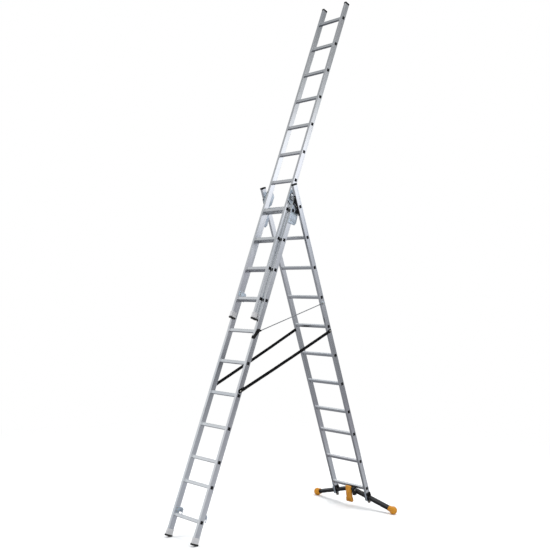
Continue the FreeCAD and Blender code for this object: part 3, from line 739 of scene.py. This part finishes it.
# shoes, soles and end caps
def sleeveRings(leg, side, box, wall, ribs):
    # a moulded sleeve from its CAD box, with grooves between ribs and a lip that closes on the stile
    low, high = box
    middle = (side * (low.x + high.x) / 2, (low.y + high.y) / 2)
    half = ((high.x - low.x) / 2, (high.y - low.y) / 2)
    rings = []

    def ring(z, shrink):
        corner = max(0.0038 - shrink * 0.5, 0.001)
        rings.append(squareRing(leg, 2, z, middle, (half[0] - shrink, half[1] - shrink), corner))

    ring(low.z, 0.0016)
    ring(low.z + 0.0006, 0.0005)
    ring(low.z + 0.0018, 0)
    first = low.z + 0.010
    last = high.z - 0.009
    for index in range(ribs):
        start = first + (last - first) * index / max(ribs - 1, 1)
        for rise, shrink in ((-0.0013, 0), (-0.0009, 0.0007), (0.0009, 0.0007), (0.0013, 0)):
            ring(start + rise, shrink)
    ring(high.z - 0.0020, 0)
    ring(high.z - 0.0006, 0.0004)
    ring(high.z, 0.0012)
    ring(high.z, wall)
    ring(high.z - 0.0015, wall + 0.0012)
    return rings


def shoes():
    look = {"frontWall": 0.0017, "upperWall": 0.0016, "frontRibs": 4, "upperRibs": 3}
    for section in ("front", "upper"):
        for side, word in ((1, "right"), (-1, "left")):
            node = section + "_shoe_" + word
            low, high = limits(solidsOf(node, frontLeg)[0])
            if side < 0:
                low.x, high.x = -high.x, -low.x
            bm = bmesh.new()
            loft(bm, sleeveRings(frontLeg, side, (low, high), look[section + "Wall"], look[section + "Ribs"]))
            finishPiece(section + "Shoe" + word.capitalize(), bm, section + "_section", "greyPlastic",
                        "grey_plastic", node)


def soles():
    look = {"groove": 0.0016, "pitch": 0.0062, "gap": 0.0018, "edge": 0.0012}
    for section in ("front", "upper"):
        bm = bmesh.new()
        for points in solidsOf(section + "_soles", frontLeg):
            low, high = limits(points)
            xMiddle = (low.x + high.x) / 2
            halfX = (high.x - low.x) / 2
            stations = []
            y = low.y
            while y < high.y - look["pitch"] * 0.6:
                grooveStart = y + look["pitch"] - look["gap"]
                stations += [(y, 0.0), (grooveStart, 0.0), (grooveStart, look["groove"]),
                             (y + look["pitch"], look["groove"])]
                y += look["pitch"]
            stations += [(y, 0.0), (high.y, 0.0)]
            rings = []
            for y, groove in stations:
                bottom = low.z + groove
                if section == "front":
                    # the floor cuts the rear of the sole level
                    floorZ = -(crossing.z - y * math.sin(leanAngle)) / math.cos(leanAngle)
                    bottom = max(bottom, floorZ + 0.0001)
                inset = 0.0
                if y < low.y + 0.0002 or y > high.y - 0.0002:
                    inset = look["edge"]
                wide = halfX - inset
                edge = look["edge"]
                rightSide = [(wide - edge, high.z), (wide, high.z - edge), (wide, bottom + edge * 1.5),
                             (wide - edge, bottom + inset)]
                outline = rightSide + [(-x, z) for x, z in reversed(rightSide)]
                rings.append([frontLeg @ Vector((xMiddle + x, y, z)) for x, z in outline])
            loft(bm, rings)
        finishPiece(section + "SolesTread", bm, section + "_section", "blackRubber", "black_rubber",
                    section + "_soles")


def endCaps():
    for section, leg in (("rear", rearLeg), ("upper", frontLeg)):
        bm = bmesh.new()
        for points in solidsOf(section + "_caps", leg):
            low, high = limits(points)
            middle = ((low.x + high.x) / 2, (low.y + high.y) / 2)
            half = ((high.x - low.x) / 2, (high.y - low.y) / 2)
            rings = []
            for z, shrink in ((low.z, 0.0014), (low.z, 0.0003), (low.z + 0.0006, 0), (low.z + 0.004, 0),
                              (low.z + 0.0044, 0.0004), (low.z + 0.0056, 0.0004), (low.z + 0.006, 0),
                              (high.z - 0.003, 0), (high.z - 0.0012, 0.0006), (high.z - 0.0003, 0.0018),
                              (high.z, 0.0040), (high.z, 0.0056), (high.z - 0.0006, 0.0060),
                              (high.z - 0.0006, 0.0080)):
                corner = max(0.0042 - shrink * 0.4, 0.001)
                rings.append(squareRing(leg, 2, z, middle, (half[0] - shrink, half[1] - shrink), corner))
            loft(bm, rings)
        finishPiece(section + "EndCaps", bm, section + "_section", "blackPlastic", "black_plastic",
                    section + "_caps")


shoes()
soles()
endCaps()
print("shoes, soles and caps done")


# crossbar balls and stops
def ballFeet():
    look = {
        "radius": 0.036,
        "collar": 0.0265,
        "collarEnd": 0.046,
        "seam": 0.0007,
        "seamHalf": 0.0007,
        "slope": 15.7,         # degrees that the bar's arms fall away
    }
    for side, word in ((1, "right"), (-1, "left")):
        node = "ball_foot_" + word
        low, high = limits(solidsOf(node, rearLeg)[0])
        centre = Vector(((low.x + high.x) / 2, (low.y + high.y) / 2, (low.z + high.z) / 2))
        slope = Matrix.Rotation(math.radians(side * look["slope"]), 4, "Y")
        space = rearLeg @ Matrix.Translation(centre) @ slope
        if side < 0:
            space = space @ Matrix.Scale(-1, 4, (1, 0, 0))
        radius, collar, end = look["radius"], look["collar"], look["collarEnd"]
        sleeve = [(-end + 0.002, 0.020), (-end, collar - 0.003), (-end, collar - 0.0012),
                  (-end + 0.0012, collar), (-end + 0.006, collar), (-end + 0.0064, collar - 0.0006),
                  (-end + 0.0078, collar - 0.0006), (-end + 0.0082, collar)]
        ball = []
        start = math.acos(collar / radius) + math.radians(90)
        for step in range(37):
            angle = start + (math.radians(9) - start) * step / 36
            along, across = radius * math.cos(angle), radius * math.sin(angle)
            if abs(along) > look["seamHalf"] * 2:
                ball.append((along, across))
        seam = [(-look["seamHalf"] * 2, radius), (-look["seamHalf"], radius - look["seam"]),
                (look["seamHalf"], radius - look["seam"]), (look["seamHalf"] * 2, radius)]
        ball = sorted(ball + seam, key=lambda item: item[0])
        dimple = [(radius * 0.985, 0.0046), (radius * 0.962, 0.0040), (radius * 0.962, 0.0012)]
        bm = bmesh.new()
        turned(bm, space, 0, sleeve + ball + dimple, 56)
        finishPiece("ballFoot" + word.capitalize(), bm, "crossbar", "amberPlastic", "amber_plastic", node)


def stopFeet():
    look = {
        "ribs": 4,
        "ribDeep": 0.0008,
        "topShare": 0.90,      # of the widest radius
        "rounding": 0.007,
        "boreRadius": 0.0035,
        "boreDeep": 0.006,
    }
    bm = bmesh.new()
    for points in solidsOf("stop_feet", rearLeg):
        low, high = limits(points)
        middle = ((low.x + high.x) / 2, (low.y + high.y) / 2)
        wide = (high.x - low.x) / 2
        narrow = wide * look["topShare"]
        tall = high.z - low.z
        rings = [(high.z, narrow * 0.9), (high.z, narrow), (high.z - 0.002, narrow + 0.0008)]
        for index in range(look["ribs"]):
            z = high.z - 0.006 - (tall - 0.016) * index / look["ribs"]
            here = narrow + (wide - narrow) * (high.z - z) / tall
            deep = look["ribDeep"]
            for rise, shrink in ((0.0014, 0), (0.0010, deep), (-0.0010, deep), (-0.0014, 0)):
                rings.append((z + rise, here - shrink))
        for step in range(7):
            angle = math.pi / 2 * step / 6
            rings.append((low.z + look["rounding"] * (1 - math.sin(angle)),
                          wide - look["rounding"] * (1 - math.cos(angle))))
        rings += [(low.z, look["boreRadius"] + 0.0008), (low.z + 0.0008, look["boreRadius"]),
                  (low.z + look["boreDeep"], look["boreRadius"] * 0.9)]
        turned(bm, rearLeg, 2, rings, 40, middle)
    finishPiece("stopFeetRibbed", bm, "rear_section", "greyRubber", "grey_rubber", "stop_feet")


ballFeet()
stopFeet()
print("balls and stops done")


# brake pedal
def brakePedal():
    # places are in the tilted pedal's own space, down from its pin
    look = {
        "tilt": -9.0,
        "padRibs": 6,
        "padRibPitch": 0.0048,
        "firstRib": 0.010,     # above the pad's lower end
        "ribHigh": 0.0016,
        "ribInset": 0.010,
        "railHigh": 0.0020,
        "railInset": 0.0068,
        "railMiddle": -0.043,
        "railHalf": 0.027,
        "crossRibs": (-0.022, -0.040, -0.058),
        "leverStep": 0.006,    # from the pad's face back to the lever's
    }
    pin = rearLeg.inverted() @ Vector(joints["pedal_press"]["pos_m"])
    tilt = rearLeg @ Matrix.Translation((0, pin.y, pin.z))
    tilt = tilt @ Matrix.Rotation(math.radians(look["tilt"]), 4, "X")
    low, high = limits(solidsOf("brake_pedal", tilt)[0])
    xMiddle = (low.x + high.x) / 2
    halfPad = (high.x - low.x) / 2
    padFace = low.y

    def bar(bm, xPlace, xHalf, yBack, yFront, zMiddle, zHalf):
        rings = []
        for y, shrink in ((yBack, 0), ((yBack + yFront) / 2, 0), (yFront + 0.0003, 0.0004), (yFront, 0.0010)):
            rings.append(squareRing(tilt, 1, y, (xPlace, zMiddle), (xHalf - shrink, zHalf - shrink),
                                    min(xHalf, zHalf) * 0.7))
        loft(bm, rings)

    def extra(bm):
        for index in range(look["padRibs"]):
            z = low.z + look["firstRib"] + index * look["padRibPitch"]
            bar(bm, xMiddle, halfPad - look["ribInset"], padFace + 0.0006, padFace - look["ribHigh"],
                z, 0.0013)
        leverFace = padFace + look["leverStep"]
        for side in (1, -1):
            bar(bm, xMiddle + side * (halfPad - look["railInset"]), 0.0019, leverFace + 0.001,
                leverFace - look["railHigh"], look["railMiddle"], look["railHalf"])
        for z in look["crossRibs"]:
            bar(bm, xMiddle, halfPad - look["ribInset"], leverFace + 0.001,
                leverFace - look["railHigh"] * 0.6, z, 0.0012)

    softened("brakePedalMoulded", "brake_pedal", "pedal", "amberPlastic", "amber_plastic", 0.0012, 28, extra)


brakePedal()
print("brake pedal done")


# stamped, cast and moulded fittings: body, finish, slot and how far the edges are rounded
sidedFittings = {
    "front_hook": ("front_section", "galvanised", "galvanised_steel", 0.0006),
    "upper_hook": ("upper_section", "galvanised", "galvanised_steel", 0.0006),
    "guide_plate": ("front_section", "galvanised", "galvanised_steel", 0.0005),
    "guide_loop": ("front_section", "blackSteel", "black_steel", 0.0008),
    "hinge_plate": ("front_section", "galvanised", "galvanised_steel", 0.0007),
    "hinge_block": ("rear_section", "blackPlastic", "black_steel", 0.0010),
    "bar_guide": ("rear_section", "blackPlastic", "black_plastic", 0.0010),
    "bar_stirrup": ("rear_section", "galvanised", "galvanised_steel", 0.0006),
}
singleFittings = {
    "pedal_bracket": ("rear_section", "blackSteel", "black_plastic", 0.0007),
    "rod_bracket": ("rear_section", "galvanised", "galvanised_steel", 0.0005),
    "rod_hook": ("stay", "blackPlastic", "black_plastic", 0.0008),
}
for fitting, making in sidedFittings.items():
    for word in ("right", "left"):
        node = fitting + "_" + word
        softened(pieceName(node, "Softened"), node, *making)
for node, making in singleFittings.items():
    softened(pieceName(node, "Softened"), node, *making)
print("fittings done")


# stay rod
def stayRod():
    look = {
        "radius": 0.004,
        "eyeOuter": 0.0100,
        "eyeInner": 0.0034,
        "eyeHalf": 0.0034,
        "crimpFrom": 0.016,
        "crimpPitch": 0.005,
        "crimpTo": 0.040,
        "crimpGrow": 0.0011,
        "plainTo": 0.0412,
    }
    pivot = Vector(joints["stay_swing"]["pos_m"])
    points = solidsOf("stay_rod", Matrix.Identity(4))[0]
    far = max(points, key=lambda point: (point - pivot).length)
    ends = [point for point in points if (point - far).length < 0.009]
    tip = sum(ends, Vector()) / len(ends)
    run = (tip - pivot).length
    aim = (tip - pivot).normalized().to_track_quat("Z", "X").to_matrix().to_4x4()
    space = Matrix.Translation(pivot) @ aim
    radius = look["radius"]
    crimp = radius + look["crimpGrow"]
    profile = [(0.0082, radius * 0.9), (0.0095, radius + 0.0014), (look["crimpFrom"], crimp)]
    for index in range(4):
        start = look["crimpFrom"] + 0.003 + index * look["crimpPitch"]
        profile += [(start, crimp), (start + 0.0006, radius + 0.0003),
                    (start + 0.0014, radius + 0.0003), (start + 0.0020, crimp)]
    plain = look["plainTo"]
    profile += [(look["crimpTo"], crimp), (plain, radius)]
    profile += [(plain + (run - plain) * step / 40, radius) for step in range(1, 40)]
    profile += [(run - 0.0008, radius), (run, radius * 0.8)]
    bm = bmesh.new()
    turned(bm, space, 2, profile, 20)
    # the eye is a closed ring turned about the pivot bolt
    half, inner, outer = look["eyeHalf"], look["eyeInner"], look["eyeOuter"]
    outline = [(-half, inner), (-half, outer - 0.001), (-0.7 * half, outer),
               (0.7 * half, outer), (half, outer - 0.001), (half, inner)]
    turned(bm, Matrix.Translation(pivot), 0, outline, 32, closed=True)
    finishPiece("stayRodDetail", bm, "stay", "rod", "rod_steel", "stay_rod")


stayRod()
print("stay rod done")


# spreader straps
def spreaderStraps():
    strap = {
        "width": 0.028,
        "thick": 0.0018,
        "standOff": 0.0034,    # from the stile's outer face
        "tail": 0.015,
        "fold": 0.075,         # the end turned back over itself and sewn
        "steps": 150,
        "ripple": 0.0006,
        "sag": 0.004,
        "stitch": 0.0034,
    }
    for side, word in ((1, "right"), (-1, "left")):
        fronts = [limits(points) for points in solidsOf("strap_front_bolts", Matrix.Identity(4))]
        rears = [limits(points) for points in solidsOf("strap_rear_bolts", Matrix.Identity(4))]
        front = next(box for box in fronts if box[0].x * side > 0)
        rear = next(box for box in rears if box[0].x * side > 0)
        start = (front[0] + front[1]) / 2
        end = (rear[0] + rear[1]) / 2
        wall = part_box("front_stile_" + word)
        start.x = (wall[1][0] if side > 0 else wall[0][0]) + side * strap["standOff"]
        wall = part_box("rear_stile_" + word)
        end.x = (wall[1][0] if side > 0 else wall[0][0]) + side * strap["standOff"]
        run = end - start
        forward = run.normalized()
        out = Vector((side, 0, 0))
        out = (out - forward * out.dot(forward)).normalized()
        up = out.cross(forward).normalized()
        random.seed(31 if side > 0 else 47)
        phase = random.uniform(0, math.pi)
        bm = bmesh.new()
        uv = bm.loops.layers.uv.new("weave")
        half, thick = strap["width"] / 2, strap["thick"]
        topSide = [(-half, 0.3), (-half + 0.0006, 0.5), (-half / 3, 0.5), (half / 3, 0.5),
                   (half - 0.0006, 0.5), (half, 0.3)]
        section = topSide + [(-across, -depth) for across, depth in topSide]

        def ribbon(distances, lift):
            rings = []
            for distance in distances:
                inside = min(max(distance / run.length, 0), 1)
                wave = strap["ripple"] * math.sin(distance * 21 + phase) * math.sin(math.pi * inside)
                sag = -strap["sag"] * math.sin(math.pi * inside)
                middle = start + forward * distance + out * (wave + lift) + Vector((0, 0, sag))
                rings.append([middle + up * across + out * (depth * thick) for across, depth in section])
            rows = loft(bm, rings)
            places = {}
            for distance, row in zip(distances, rows):
                for vertex, (across, depth) in zip(row, section):
                    places[vertex] = (across, distance)
            for face in bm.faces:
                for loop in face.loops:
                    if loop.vert in places:
                        loop[uv].uv = places[loop.vert]

        whole = run.length + 2 * strap["tail"]
        ribbon([-strap["tail"] + whole * step / strap["steps"] for step in range(strap["steps"] + 1)], 0.0)
        for first in (-strap["tail"], run.length + strap["tail"] - strap["fold"]):
            ribbon([first + strap["fold"] * step / 12 for step in range(13)], 0.00175)
            # a sewn box of stitches beside the bolt
            box = first + strap["fold"] * (0.62 if first < 0 else 0.38)
            for rowAt in (-0.011, -0.0095, 0.0095, 0.011):
                for stitch in range(7):
                    at = box + (stitch - 3) * (strap["stitch"] + 0.0012)
                    middle = start + forward * at + up * rowAt + out * 0.0020
                    rings = []
                    for along, size in ((-0.5, 0.35), (-0.35, 1.0), (0.0, 1.25), (0.35, 1.0), (0.5, 0.35)):
                        here = middle + forward * (along * strap["stitch"])
                        wide, high = 0.00035 * size, 0.0004 * size
                        rings.append([here + up * (wide * math.cos(angle)) + out * (high * math.sin(angle))
                                      for angle in (0.4, 1.3, 2.2, 3.1, 4.0, 4.9, 5.8)])
                    loft(bm, rings)
        piece = finishPiece("spreaderStrap" + word.capitalize(), bm, None, "webbing", "webbing",
                            "spreader_strap_" + word)
        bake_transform(piece)
        print("spreader strap done:", word, round(run.length, 4), "m between bolts")


spreaderStraps()
